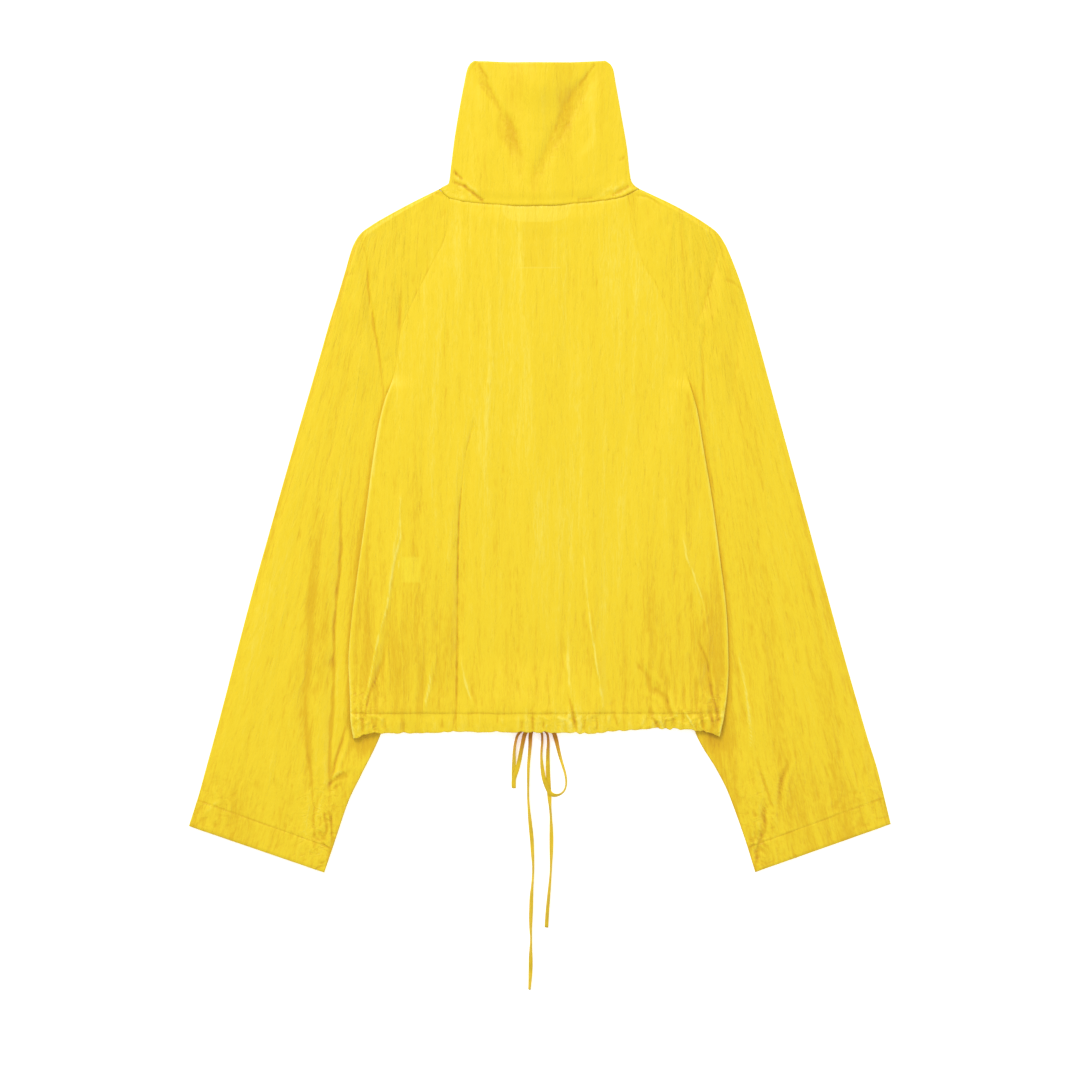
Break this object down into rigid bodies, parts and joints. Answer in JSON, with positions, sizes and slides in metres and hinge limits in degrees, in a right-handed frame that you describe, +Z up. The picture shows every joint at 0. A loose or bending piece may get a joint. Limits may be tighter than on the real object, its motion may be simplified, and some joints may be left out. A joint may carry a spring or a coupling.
{
  "type": "windbreaker jacket",
  "caption": "Light nylon windbreaker lying flat with its back up: tall funnel collar, raglan sleeves folded in under the body, drawstring hem with a bow.",
  "frame": {"origin": "on the surface the jacket lies on, below the centre of the garment's box without the tie", "axes": "+X across the back to the wearer's right sleeve, +Y from the hem up to the collar, +Z up from the surface to the back panel"},
  "size_m": [0.8066, 1.0674, 0.0116],
  "materials": {
    "nylon": "thin crinkled nylon, semi-sheer, soft sheen",
    "tie": "flat self-fabric tie",
    "zip": "moulded zip in the cloth's yellow"
  },
  "bodies": {
    "jacket": {"back_panel": "nylon", "front_left": "nylon", "front_right": "nylon", "sleeve_left": "nylon", "sleeve_right": "nylon", "collar": "nylon", "hem_channel_back": "nylon", "hem_channel_front_left": "nylon", "hem_channel_front_right": "nylon", "zip_tape_left": "nylon", "zip_tape_right": "nylon", "zip_chain": "zip", "zip_slider": "zip", "drawstring_knot": "tie", "drawstring_lead_left": "tie", "drawstring_lead_right": "tie", "drawstring_loop_left": "tie", "drawstring_loop_right": "tie", "drawstring_end_left": "tie", "drawstring_end_right": "tie"},
    "zip_pull": {"zip_pull": "zip"}
  },
  "joints": [
    {"name": "zip_pull_swing", "type": "hinge", "parent": "jacket", "child": "zip_pull", "pos_m": [0, 0.45, 0.0012], "axis": [1, 0, 0], "range_deg": [0, 160]}
  ]
}
